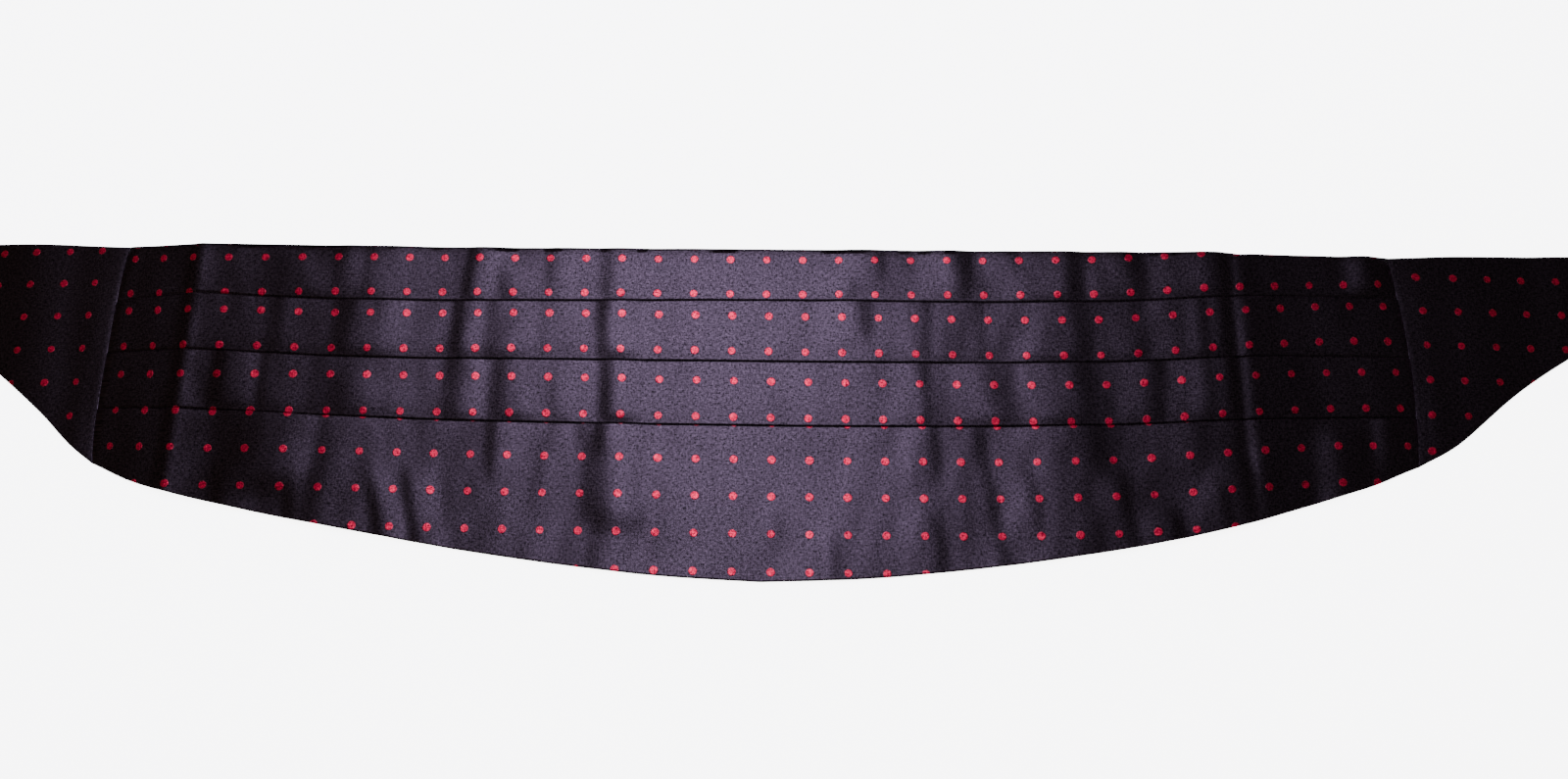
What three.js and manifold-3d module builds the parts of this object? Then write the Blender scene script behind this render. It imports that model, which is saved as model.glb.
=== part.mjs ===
// Cummerbund: a pleated satin waist sash that lies flat, face up.
// Units are millimetres. X runs along the sash, Y points to its straight upper edge
// and Z points up, away from the surface that it lies on.
import * as THREE from 'three';
import { mergeVertices } from 'three/addons/utils/BufferGeometryUtils.js';
import Module from 'manifold-3d';

const wasm = await Module();
wasm.setup();

// Cloth
const CLOTH = 1.0; // wall of one layer of cloth
const LAYER_GAP = 0.3; // air between two layers that rest on each other
const SEAM_GAP = 0.3; // air between two pieces that are sewn edge to edge

// Pleated front panel
const PANEL_WIDTH = 499; // from seam to seam
const PANEL_HEIGHT = 131.3; // from the straight upper edge to the lowest point
const TOP_HEM = 8; // upper edge turned under
const LOWER_HEM = 5; // curved lower edge turned under
const FIRST_TUCK = 16.7; // how far the cloth runs back under the upper fold
const SECOND_TUCK = 15.0; // the same under the middle fold
const THIRD_TUCK = 13.3; // the same under the lower fold

// Tapered wings
const WING_LENGTH = 118; // from the seam to the narrow end
const WING_HEM = 8; // both long edges turned under
const SEAM_LIFT = 1.3; // the wing rides up on the seam by one layer
const SEAM_LIFT_RUN = 15; // length over which it comes down again

// Creases and ripples of the cloth
const CREASE_RISE = 2.2; // height of the higher storage crease

// Straps
const STRAP_WIDTH = 20;
const STRAP_THICKNESS = 1.0;
const STRAP_FREE = 70; // from the end of the wing to the bar of the clasp
const STRAP_INSIDE = 14; // length that is held under the end of the wing
const STRAP_RETURN = 18; // end turned back under the strap and stitched
const STRAP_MARGIN = 2.5; // the wing is wider than the strap by this on each side

// Clasp: a hook on one strap and a slotted ring on the other
const METAL = 1.2; // thickness of the sheet
const BAR = 2.0; // width of the bar that carries the strap
const STRAP_SLOT = 2.6; // slot beside that bar
const CLASP_SIDE = 2.0; // side rail beyond the end of the slot
const CLASP_CLEAR = 0.6; // room at each edge of the strap
const BAR_CLEAR = 0.3; // room between the bar and the strap around it
const HOOK_PLATE = 8; // plate between the slot and the bend of the hook
const HOOK_WIDTH = 12;
const HOOK_LIP = 6.5; // length of the lip that turns back over the plate
const HOOK_MOUTH = 1.8; // space under the lip
const RING_BRIDGE = 2.0; // bridge between the two slots of the ring
const RING_SLOT = 3.6; // slot that takes the lip of the hook
const RING_SLOT_SIDE = 5.0; // metal at each end of that slot
const RING_BAR = 2.2; // bar that the hook holds

const HALF_PANEL = PANEL_WIDTH / 2;
const WING_TIP = STRAP_WIDTH + 2 * STRAP_MARGIN;

// Heights of the middle of each layer in a stack of cloth
const PITCH = CLOTH + LAYER_GAP;
const LEVEL_1 = CLOTH / 2;
const LEVEL_2 = LEVEL_1 + PITCH;
const LEVEL_3 = LEVEL_2 + PITCH;

// Curved lower edge of the panel.
// along: share of half the panel, from the middle to a seam
// left, right: depth below the upper edge, as a share of the panel height
const LOWER_EDGE = [
  { along: 0.00, left: 1.000, right: 1.000 },
  { along: 0.15, left: 0.984, right: 0.990 },
  { along: 0.30, left: 0.953, right: 0.964 },
  { along: 0.45, left: 0.913, right: 0.928 },
  { along: 0.60, left: 0.864, right: 0.880 },
  { along: 0.72, left: 0.823, right: 0.829 },
  { along: 0.80, left: 0.792, right: 0.785 },
  { along: 0.88, left: 0.758, right: 0.739 },
  { along: 0.94, left: 0.725, right: 0.702 },
  { along: 1.00, left: 0.674, right: 0.660 },
];

// Lower edge of the wings.
// along: share of the wing length, from the seam to the narrow end
// left, right: share of the way from the depth at the narrow end to the depth at the seam
const WING_EDGE = [
  { along: 0.00, left: 1.000, right: 1.000 },
  { along: 0.10, left: 0.853, right: 0.884 },
  { along: 0.20, left: 0.684, right: 0.727 },
  { along: 0.30, left: 0.529, right: 0.570 },
  { along: 0.40, left: 0.387, right: 0.433 },
  { along: 0.52, left: 0.245, right: 0.290 },
  { along: 0.66, left: 0.120, right: 0.140 },
  { along: 0.80, left: 0.035, right: 0.040 },
  { along: 1.00, left: 0.000, right: 0.000 },
];

// Straight upper edge, which lies a little uneven.
// along: share of half the panel, negative to the left
// drop: depth below the straight line, as a share of the panel height
const UPPER_EDGE = [
  { along: -1.10, drop: 0.002 },
  { along: -1.00, drop: 0.007 },
  { along: -0.86, drop: 0.000 },
  { along: -0.50, drop: 0.002 },
  { along: 0.20, drop: 0.002 },
  { along: 0.60, drop: 0.005 },
  { along: 0.80, drop: 0.011 },
  { along: 1.00, drop: 0.020 },
  { along: 1.09, drop: 0.012 },
];

// Edges of the three folds.
// along: share of half the panel, negative to the left
// first, second, third: depth below the upper edge, as a share of the panel height
const FOLDS = [
  { along: -1.00, first: 0.185, second: 0.345, third: 0.515 },
  { along: -0.88, first: 0.160, second: 0.336, third: 0.516 },
  { along: -0.63, first: 0.175, second: 0.354, third: 0.535 },
  { along: -0.35, first: 0.173, second: 0.357, third: 0.548 },
  { along: 0.00, first: 0.167, second: 0.359, third: 0.554 },
  { along: 0.30, first: 0.168, second: 0.359, third: 0.553 },
  { along: 0.55, first: 0.164, second: 0.353, third: 0.544 },
  { along: 0.72, first: 0.150, second: 0.340, third: 0.530 },
  { along: 0.82, first: 0.143, second: 0.332, third: 0.523 },
  { along: 1.00, first: 0.148, second: 0.334, third: 0.518 },
];

// Ridges across the panel: the two storage creases, and soft ripples between them.
// at: place along half the panel, negative to the left
// inner, outer: half width towards the middle and the seam, as shares of half the panel
// top, bottom: height at the upper and the lower edge, as shares of the crease's rise
const RIDGES = [
  { at: -0.885, inner: 0.056, outer: 0.096, top: 1.00, bottom: 0.90 },
  { at: -0.600, inner: 0.048, outer: 0.036, top: 0.28, bottom: 0.40 },
  { at: -0.420, inner: 0.036, outer: 0.036, top: 0.36, bottom: 0.22 },
  { at: -0.210, inner: 0.032, outer: 0.040, top: 0.30, bottom: 0.50 },
  { at: 0.200, inner: 0.036, outer: 0.048, top: 0.36, bottom: 0.10 },
  { at: 0.470, inner: 0.040, outer: 0.044, top: 0.40, bottom: 0.50 },
  { at: 0.728, inner: 0.044, outer: 0.052, top: 0.77, bottom: 0.77 },
];

// Soft ripples across the wings.
// at, spread: place and half width, as shares of the wing length
// height: share of the crease's rise
const WING_RIDGES = [
  { at: 0.30, spread: 0.136, height: 0.32 },
  { at: 0.58, spread: 0.119, height: 0.27 },
];

// Colours and finish
const satin = new THREE.Color(0x2c2838);
const webbing = new THREE.Color(0x18161f);
const nickel = new THREE.Color(0x9a9a9e);

// Smooth curve through the rows of a table, held flat beyond both ends
function curve(table, column, along) {
  const last = table.length - 1;
  if (along <= table[0].along) return table[0][column];
  if (along >= table[last].along) return table[last][column];
  let k = 0;
  while (along > table[k + 1].along) k += 1;
  const slope = (i) => {
    const a = table[Math.max(0, i - 1)];
    const b = table[Math.min(last, i + 1)];
    return (b[column] - a[column]) / (b.along - a.along);
  };
  const step = table[k + 1].along - table[k].along;
  const t = (along - table[k].along) / step;
  const near = (1 + 2 * t) * (1 - t) * (1 - t);
  const far = t * t * (3 - 2 * t);
  const tangents = step * t * (1 - t) * ((1 - t) * slope(k) - t * slope(k + 1));
  return near * table[k][column] + far * table[k + 1][column] + tangents;
}

// Round ridge that falls to nothing on each side
function bump(offset, negativeSide, positiveSide) {
  const t = offset < 0 ? -offset / negativeSide : offset / positiveSide;
  return t < 1 ? (1 - t * t) * (1 - t * t) : 0;
}

// Height of the upper edge, the lower edge and the folds at a place along the sash
function upperEdge(x) {
  return -PANEL_HEIGHT * curve(UPPER_EDGE, 'drop', x / HALF_PANEL);
}

function lowerEdge(x) {
  const side = x < 0 ? 'left' : 'right';
  return -PANEL_HEIGHT * curve(LOWER_EDGE, side, Math.abs(x) / HALF_PANEL);
}

function foldEdge(x, which) {
  return -PANEL_HEIGHT * curve(FOLDS, which, x / HALF_PANEL);
}

function ridgeSides(ridge) {
  const left = ridge.at < 0 ? ridge.outer : ridge.inner;
  const right = ridge.at < 0 ? ridge.inner : ridge.outer;
  return { left: left * HALF_PANEL, right: right * HALF_PANEL };
}

function panelLift(x, y) {
  const depth = THREE.MathUtils.clamp(-y / PANEL_HEIGHT, 0, 1);
  let lift = 0;
  for (const ridge of RIDGES) {
    const { left, right } = ridgeSides(ridge);
    const strength = THREE.MathUtils.lerp(ridge.top, ridge.bottom, depth);
    lift += CREASE_RISE * strength * bump(x - ridge.at * HALF_PANEL, left, right);
  }
  return lift;
}

// Outline of a strip of sheet that follows a path of runs and turns.
// u is the distance along the path's main direction, z the middle of the layer.
class Strip {
  constructor(thickness) {
    this.half = thickness / 2;
    this.left = [];
    this.right = [];
  }

  run(direction, u, z, halfBelow = this.half) {
    const up = new THREE.Vector2(u, z + this.half);
    const down = new THREE.Vector2(u, z - halfBelow);
    this.left.push(direction > 0 ? up : down);
    this.right.push(direction > 0 ? down : up);
  }

  turn(direction, tip, zFrom, zTo, innerSteps = 1) {
    const outer = Math.abs(zFrom - zTo) / 2 + this.half;
    const inner = Math.abs(zFrom - zTo) / 2 - this.half;
    const side = Math.sign(zFrom - zTo);
    const middle = (zFrom + zTo) / 2;
    const centre = tip - direction * outer;
    const outside = direction * side > 0 ? this.left : this.right;
    const inside = direction * side > 0 ? this.right : this.left;
    for (let k = 0; k <= 3; k += 1) {
      const angle = (k * Math.PI) / 3;
      const u = centre + direction * outer * Math.sin(angle);
      outside.push(new THREE.Vector2(u, middle + side * outer * Math.cos(angle)));
    }
    for (let k = 0; k <= innerSteps; k += 1) {
      const angle = (k * Math.PI) / innerSteps;
      const u = centre + direction * inner * Math.sin(angle);
      inside.push(new THREE.Vector2(u, middle + side * inner * Math.cos(angle)));
    }
  }

  outline() {
    return this.left.concat(this.right.slice().reverse());
  }
}

// Closed solid from equal outlines placed one after another
function loft(outlines, place) {
  const count = outlines[0].points.length;
  const positions = [];
  for (const row of outlines) {
    for (const point of row.points) {
      const corner = place(row.at, point);
      positions.push(corner.x, corner.y, corner.z);
    }
  }
  const index = [];
  for (let r = 0; r + 1 < outlines.length; r += 1) {
    for (let k = 0; k < count; k += 1) {
      const a = r * count + k;
      const b = r * count + ((k + 1) % count);
      index.push(a, b, b + count, a, b + count, a + count);
    }
  }
  const addCap = (r, flip) => {
    const faces = THREE.ShapeUtils.triangulateShape(outlines[r].points, []);
    for (const face of faces) {
      const [a, b, c] = face.map((k) => r * count + k);
      if (flip) index.push(a, c, b);
      else index.push(a, b, c);
    }
  };
  const reversed = THREE.ShapeUtils.isClockWise(outlines[0].points);
  addCap(0, !reversed);
  addCap(outlines.length - 1, reversed);
  const geometry = new THREE.BufferGeometry();
  geometry.setAttribute('position', new THREE.Float32BufferAttribute(positions, 3));
  geometry.setIndex(index);
  return outward(geometry);
}

// The same solid with its faces turned to point out of it
function outward(geometry) {
  const position = geometry.getAttribute('position');
  const index = geometry.getIndex();
  const corner = (k) => new THREE.Vector3().fromBufferAttribute(position, index.getX(k));
  let volume = 0;
  for (let k = 0; k < index.count; k += 3) {
    volume += corner(k).dot(corner(k + 1).cross(corner(k + 2)));
  }
  if (volume < 0) {
    for (let k = 0; k < index.count; k += 3) {
      const keep = index.getX(k);
      index.setX(k, index.getX(k + 2));
      index.setX(k + 2, keep);
    }
  }
  const faceted = geometry.toNonIndexed();
  faceted.computeVertexNormals();
  return faceted;
}

const alongX = (x, point) => new THREE.Vector3(x, point.x, point.y);

// Places along the panel: closer together across each ridge
function panelStations() {
  const wanted = [-HALF_PANEL, HALF_PANEL];
  for (const ridge of RIDGES) {
    const { left, right } = ridgeSides(ridge);
    const middle = ridge.at * HALF_PANEL;
    wanted.push(middle - left, middle - left / 2, middle, middle + right / 2, middle + right);
  }
  const fillers = 24;
  for (let k = 1; k < fillers; k += 1) {
    const x = -HALF_PANEL + (k * PANEL_WIDTH) / fillers;
    const nearest = Math.min(...wanted.map((other) => Math.abs(other - x)));
    if (nearest > PANEL_WIDTH / fillers / 2.4) wanted.push(x);
  }
  wanted.sort((a, b) => a - b);
  return wanted.filter((x, k) => k === 0 || x - wanted[k - 1] > 1.5 * CLOTH);
}

// Section of the panel: one cloth that is hemmed below, folded up and tucked back
// three times, and hemmed above. Each band ends in a fold over the band above it.
function panelSection(x) {
  const strip = new Strip(CLOTH);
  const bottom = lowerEdge(x);
  const top = upperEdge(x);
  const nose = CLOTH + LAYER_GAP / 2;
  const folds = [
    { edge: foldEdge(x, 'third'), tuck: THIRD_TUCK },
    { edge: foldEdge(x, 'second'), tuck: SECOND_TUCK },
    { edge: foldEdge(x, 'first'), tuck: FIRST_TUCK },
  ];
  const firstRoom = folds[0].edge - folds[0].tuck - bottom;
  const lowerHem = Math.max(1.3 * nose, Math.min(LOWER_HEM, firstRoom - 2 * nose));
  strip.run(-1, bottom + lowerHem, LEVEL_1);
  strip.turn(-1, bottom, LEVEL_1, LEVEL_2);
  let start = bottom + lowerHem;
  let startLevel = LEVEL_2;
  for (const fold of folds) {
    const back = fold.edge - fold.tuck;
    const rise = back - 0.2 * nose;
    strip.run(1, THREE.MathUtils.lerp(start, rise, 0.2), startLevel);
    strip.run(1, rise, LEVEL_3);
    strip.run(1, THREE.MathUtils.lerp(rise, fold.edge, 0.5), LEVEL_3);
    strip.turn(1, fold.edge, LEVEL_3, LEVEL_2);
    strip.turn(-1, back, LEVEL_2, LEVEL_1);
    start = fold.edge + LAYER_GAP;
    startLevel = LEVEL_1;
    strip.run(1, start, LEVEL_1);
  }
  const hemStart = top - TOP_HEM - LAYER_GAP;
  strip.run(1, THREE.MathUtils.lerp(start, hemStart, 0.3), LEVEL_1);
  strip.run(1, hemStart, LEVEL_2);
  strip.turn(1, top, LEVEL_2, LEVEL_1);
  strip.run(-1, top - TOP_HEM, LEVEL_1);
  return strip.outline();
}

function frontPanel() {
  const outlines = panelStations().map((x) => ({ at: x, points: panelSection(x) }));
  return loft(outlines, (x, point) => {
    return new THREE.Vector3(x, point.x, point.y + panelLift(x, point.x));
  });
}

// Section of a wing: one cloth with both long edges turned under. It rides up on the
// seam, where its edge is turned down.
function wingSection(side, distance) {
  const x = side * (HALF_PANEL + distance);
  const top = upperEdge(x);
  const seamDepth = -lowerEdge(side * HALF_PANEL);
  const share = curve(WING_EDGE, side < 0 ? 'left' : 'right', distance / WING_LENGTH);
  const tipDepth = WING_TIP - upperEdge(side * (HALF_PANEL + WING_LENGTH));
  const bottom = -THREE.MathUtils.lerp(tipDepth, seamDepth, share);
  const room = (top - bottom - STRAP_WIDTH) / 2 - CLASP_CLEAR;
  const nose = CLOTH + LAYER_GAP / 2;
  const lift = SEAM_LIFT * Math.max(0, 1 - distance / SEAM_LIFT_RUN) ** 2;
  const level = LEVEL_2 + lift;
  const turnedDown = distance < CLOTH;
  const hem = Math.max(1.1 * (nose + lift / 2), Math.min(WING_HEM, room));
  const strip = new Strip(CLOTH);
  strip.run(-1, bottom + hem, LEVEL_1);
  strip.turn(-1, bottom, LEVEL_1, level);
  for (let k = 1; k <= 5; k += 1) {
    const y = THREE.MathUtils.lerp(bottom, top, 0.08 + (0.84 * (k - 1)) / 4);
    strip.run(1, y, level, turnedDown ? level - CLOTH - LAYER_GAP : CLOTH / 2);
  }
  strip.turn(1, top, level, LEVEL_1);
  strip.run(-1, top - hem, LEVEL_1);
  return { points: strip.outline(), top, bottom };
}

function wing(side) {
  const places = [0, 0.98 * CLOTH, 1.3 * CLOTH, 0.25 * SEAM_LIFT_RUN, 0.6 * SEAM_LIFT_RUN];
  const steps = 14;
  for (let k = 1; k <= steps; k += 1) {
    places.push(THREE.MathUtils.lerp(0.6 * SEAM_LIFT_RUN, WING_LENGTH - SEAM_GAP, k / steps));
  }
  const outlines = places.map((distance) => ({
    at: distance,
    points: wingSection(side, distance).points,
  }));
  return loft(outlines, (distance, point) => {
    let lift = 0;
    for (const ridge of WING_RIDGES) {
      const offset = distance - ridge.at * WING_LENGTH;
      const spread = ridge.spread * WING_LENGTH;
      lift += CREASE_RISE * ridge.height * bump(offset, spread, spread);
    }
    const x = side * (HALF_PANEL + SEAM_GAP + distance);
    return new THREE.Vector3(x, point.x, point.y + lift);
  });
}

// Distance of the clasp's bar from the middle of the panel
const BAR_AT = HALF_PANEL + WING_LENGTH + STRAP_FREE;
const CLASP_LEVEL = STRAP_THICKNESS + BAR_CLEAR;

function strapMiddle(side) {
  return upperEdge(side * (HALF_PANEL + WING_LENGTH)) - WING_TIP / 2;
}

// Strap: held under the end of the wing, looped round the bar of its clasp and turned
// back under itself.
function strap(side) {
  const low = STRAP_THICKNESS / 2;
  const middle = low + STRAP_THICKNESS + LAYER_GAP;
  const high = CLASP_LEVEL + METAL + BAR_CLEAR + low;
  const tip = BAR_AT + BAR + (high - low + STRAP_THICKNESS) / 2;
  const returnEnd = BAR_AT - STRAP_RETURN;
  const strip = new Strip(STRAP_THICKNESS);
  strip.run(1, HALF_PANEL + WING_LENGTH - STRAP_INSIDE, low);
  strip.run(1, returnEnd - 4 * STRAP_THICKNESS, low);
  strip.run(1, returnEnd - LAYER_GAP, middle);
  strip.run(1, BAR_AT - 7 * STRAP_THICKNESS, middle);
  strip.run(1, BAR_AT - BAR_CLEAR, high);
  strip.turn(1, tip, high, low, 3);
  strip.run(-1, BAR_AT - BAR_CLEAR, low);
  strip.run(-1, returnEnd, low);
  const points = strip.outline();
  const centre = strapMiddle(side);
  const outlines = [-0.5, 0.5].map((share) => ({ at: centre + share * STRAP_WIDTH, points }));
  return loft(outlines, (y, point) => new THREE.Vector3(side * point.x, y, point.y));
}

// Flat frame with the slot that takes the strap, drawn outwards from its bar
const FRAME_HALF = STRAP_WIDTH / 2 + CLASP_CLEAR + CLASP_SIDE;

function rectangle(x0, x1, half) {
  const corners = [[x0, -half], [x1, -half], [x1, half], [x0, half]];
  return corners.map(([x, y]) => new THREE.Vector2(x, y));
}

function arc(x, y, radius, from, to, steps) {
  const points = [];
  for (let k = 0; k <= steps; k += 1) {
    const angle = THREE.MathUtils.degToRad(THREE.MathUtils.lerp(from, to, k / steps));
    points.push(new THREE.Vector2(x + radius * Math.cos(angle), y + radius * Math.sin(angle)));
  }
  return points;
}

function roundedPlate(length, corner) {
  const far = FRAME_HALF - corner;
  const plate = new THREE.Shape([
    ...arc(corner, -far, corner, 180, 270, 3),
    ...arc(length - corner, -far, corner, 270, 360, 3),
    ...arc(length - corner, far, corner, 0, 90, 3),
    ...arc(corner, far, corner, 90, 180, 3),
  ]);
  const slot = rectangle(BAR, BAR + STRAP_SLOT, FRAME_HALF - CLASP_SIDE);
  plate.holes.push(new THREE.Path(slot));
  return plate;
}

function extrude(shape, depth) {
  return new THREE.ExtrudeGeometry(shape, { depth, bevelEnabled: false, steps: 1 });
}

// Merges the corners that meet and drops the faces that this leaves without area
function joined(geometry) {
  const bare = geometry.clone();
  bare.deleteAttribute('normal');
  bare.deleteAttribute('uv');
  const merged = mergeVertices(bare, 1e-3);
  const faces = Array.from(merged.getIndex().array);
  const kept = [];
  for (let k = 0; k < faces.length; k += 3) {
    const [a, b, c] = faces.slice(k, k + 3);
    if (a !== b && b !== c && c !== a) kept.push(a, b, c);
  }
  merged.setIndex(kept);
  return merged;
}

function toSolid(geometry) {
  const merged = joined(geometry);
  const mesh = new wasm.Mesh({
    numProp: 3,
    vertProperties: new Float32Array(merged.getAttribute('position').array),
    triVerts: new Uint32Array(merged.getIndex().array),
  });
  return new wasm.Manifold(mesh);
}

function toGeometry(solid) {
  const mesh = solid.getMesh();
  const geometry = new THREE.BufferGeometry();
  const position = new THREE.Float32BufferAttribute(mesh.vertProperties, 3);
  geometry.setAttribute('position', position);
  geometry.setIndex(Array.from(mesh.triVerts));
  return outward(geometry);
}

// Ring: a flat plate with one slot for the strap and one for the hook
function ringGeometry() {
  const length = BAR + STRAP_SLOT + RING_BRIDGE + RING_SLOT + RING_BAR;
  const plate = roundedPlate(length, 0.7 * CLASP_SIDE);
  const slotStart = BAR + STRAP_SLOT + RING_BRIDGE;
  const slotHalf = FRAME_HALF - RING_SLOT_SIDE;
  const slot = rectangle(slotStart, slotStart + RING_SLOT, slotHalf);
  plate.holes.push(new THREE.Path(slot));
  return outward(joined(extrude(plate, METAL)));
}

// Hook: the same plate, whose outer end is bent up and back to a lip
function hookGeometry() {
  const plateLength = BAR + STRAP_SLOT + HOOK_PLATE;
  const plate = extrude(roundedPlate(plateLength, 0.7 * CLASP_SIDE), METAL);
  const outer = METAL + HOOK_MOUTH / 2;
  const inner = HOOK_MOUTH / 2;
  const bend = plateLength + HOOK_MOUTH / 2;
  const tongue = new THREE.Shape([
    new THREE.Vector2(plateLength - CLASP_SIDE, 0),
    ...arc(bend, outer, outer, -90, 90, 8),
    new THREE.Vector2(bend - HOOK_LIP, 2 * outer),
    new THREE.Vector2(bend - HOOK_LIP, 2 * outer - METAL),
    ...arc(bend, outer, inner, 90, -90, 8),
    new THREE.Vector2(plateLength - CLASP_SIDE, METAL),
  ]);
  const lip = extrude(tongue, HOOK_WIDTH);
  lip.rotateX(Math.PI / 2);
  lip.translate(0, HOOK_WIDTH / 2, 0);
  return toGeometry(toSolid(plate).add(toSolid(lip)));
}

function placeClasp(mesh, side) {
  mesh.position.set(side * BAR_AT, strapMiddle(side), CLASP_LEVEL);
  if (side < 0) mesh.rotation.z = Math.PI;
  return mesh;
}

function piece(name, geometry, color, roughness, metalness) {
  const material = new THREE.MeshStandardMaterial({ color, roughness, metalness });
  material.name = name;
  const mesh = new THREE.Mesh(geometry, material);
  mesh.name = name;
  return mesh;
}

// Assembly
const cummerbund = new THREE.Group();
cummerbund.name = 'cummerbund';
cummerbund.add(piece('front_panel', frontPanel(), satin, 0.45, 0));
cummerbund.add(piece('wing_left', wing(-1), satin, 0.45, 0));
cummerbund.add(piece('wing_right', wing(1), satin, 0.45, 0));
cummerbund.add(piece('strap_left', strap(-1), webbing, 0.8, 0));
cummerbund.add(piece('strap_right', strap(1), webbing, 0.8, 0));
cummerbund.add(placeClasp(piece('clasp_ring', ringGeometry(), nickel, 0.35, 1), -1));
cummerbund.add(placeClasp(piece('clasp_hook', hookGeometry(), nickel, 0.35, 1), 1));

// The origin is the middle of the underside of the whole object
cummerbund.updateMatrixWorld(true);
const box = new THREE.Box3().setFromObject(cummerbund, true);
const middle = box.getCenter(new THREE.Vector3());
cummerbund.position.set(-middle.x, -middle.y, -box.min.z);
cummerbund.updateMatrixWorld(true);

export default cummerbund;
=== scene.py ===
"""Visual model of a pleated satin cummerbund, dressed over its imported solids."""

import math
from collections import namedtuple

import bpy
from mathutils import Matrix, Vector, noise


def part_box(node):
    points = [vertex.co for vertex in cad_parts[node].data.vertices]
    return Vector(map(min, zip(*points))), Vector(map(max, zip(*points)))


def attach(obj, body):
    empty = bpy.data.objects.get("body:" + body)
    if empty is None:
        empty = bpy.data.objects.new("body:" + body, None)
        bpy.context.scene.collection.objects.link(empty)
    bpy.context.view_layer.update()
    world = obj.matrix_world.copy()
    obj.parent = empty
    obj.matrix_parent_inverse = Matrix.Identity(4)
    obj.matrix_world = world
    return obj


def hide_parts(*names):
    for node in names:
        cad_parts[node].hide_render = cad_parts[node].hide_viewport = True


bl_info = {
    "name": "Satin cummerbund",
    "version": (1, 0, 0),
    "blender": (4, 5, 0),
    "location": "3D View > Sidebar > Cummerbund",
    "description": "Builds the cloth, straps, stitches and finishes of a cummerbund",
    "category": "Object",
}

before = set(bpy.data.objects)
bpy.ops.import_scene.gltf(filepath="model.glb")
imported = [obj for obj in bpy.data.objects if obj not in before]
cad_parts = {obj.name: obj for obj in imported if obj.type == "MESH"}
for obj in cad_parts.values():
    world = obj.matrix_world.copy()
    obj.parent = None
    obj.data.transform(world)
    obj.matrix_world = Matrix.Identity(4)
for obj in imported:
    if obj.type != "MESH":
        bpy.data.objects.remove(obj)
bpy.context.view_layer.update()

MM = 0.001

# The panel's solid gives the frame of the cloth: x from the middle of the panel,
# y down from its straight upper edge, z up from the table, all in millimetres.
PANEL_LOW, PANEL_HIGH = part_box("front_panel")
MIDDLE_X = (PANEL_LOW[0] + PANEL_HIGH[0]) / 2
UPPER_Y = PANEL_HIGH[1]
HALF = (PANEL_HIGH[0] - PANEL_LOW[0]) / 2 / MM
HEIGHT = 131.3
WING_LENGTH = 118.0
WING_TIP = 25.0
WING_END = HALF + WING_LENGTH
WING_HEM = 8.0
STRAP_WIDTH = 20.0
STRAP_HELD = 14.0
STRAP_FREE = 70.0
STRAP_RETURN = 18.0
STRAP_GAP = 0.3
# Bar that carries the strap: its place from the middle of the panel, its underside above
# the table, its thickness, and how far the strap's turn lies past it
BAR_AT = WING_END + STRAP_FREE
BAR_LOW = 1.3
BAR_THICKNESS = 1.2
BAR_REACH = 2.0

# Depth of the tucks behind the upper (first), middle and lower fold
TUCKS = {"first": 16.7, "second": 15.0, "third": 13.3}
LOWER_HEM = 5.0
# Flatness of the folds' rounded edges, and width of the groove above each
FOLD_REACH = 1.2
GROOVE = {"third": 0.60, "second": 0.66, "first": 0.80}
# Each band that ends in a fold: its fold, the band above it, and its steps
BANDS = (
    ("bottom", "third", "lower", 28),
    ("lower", "second", "upper", 16),
    ("upper", "first", "top", 16),
)
# Share of a band's ripples that is left where it comes out from under a fold
UNDER_SHARE = 0.4
UPPER_HEM = 8.0
# Distance from a turned edge to the first row of the cloth inside it
PANEL_TURN = 1.0
WING_TURN = 0.8
# Each seam: its length, the gap between the panel's edge and the wing's, and how far
# the panel sinks under the wing
SEAM_LENGTH = 90.0
SEAM_GAP = 0.03
SEAM_SINK = 0.7
# Step between the places where the panel's cloth is cut through
STATION_STEP = 1.75


def rows_of(names, *rows):
    """Rows of a table, each with these names for its numbers."""
    return [dict(zip(names.split(), row)) for row in rows]


# Curved lower edge of the panel.
# along: share of half the panel; left, right: depth as a share of the height
LOWER_EDGE = rows_of(
    "along left right",
    (0.00, 1.000, 1.000),
    (0.15, 0.984, 0.990),
    (0.30, 0.953, 0.964),
    (0.45, 0.913, 0.928),
    (0.60, 0.864, 0.880),
    (0.72, 0.823, 0.829),
    (0.80, 0.792, 0.785),
    (0.88, 0.758, 0.739),
    (0.94, 0.725, 0.702),
    (1.00, 0.674, 0.660),
)

# Lower edge of the wings.
# along: share of the wing; left, right: share of the way from tip depth to seam depth
WING_EDGE = rows_of(
    "along left right",
    (0.00, 1.000, 1.000),
    (0.10, 0.853, 0.884),
    (0.20, 0.684, 0.727),
    (0.30, 0.529, 0.570),
    (0.40, 0.387, 0.433),
    (0.52, 0.245, 0.290),
    (0.66, 0.120, 0.140),
    (0.80, 0.035, 0.040),
    (1.00, 0.000, 0.000),
)

# Straight upper edge. along: share of half the panel; drop: share of the height
UPPER_EDGE = rows_of(
    "along drop",
    (-1.10, 0.002),
    (-1.00, 0.007),
    (-0.86, 0.000),
    (-0.50, 0.002),
    (0.20, 0.002),
    (0.60, 0.005),
    (0.735, 0.007),
    (0.750, 0.012),
    (0.775, 0.009),
    (1.00, 0.014),
    (1.09, 0.008),
)

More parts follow.
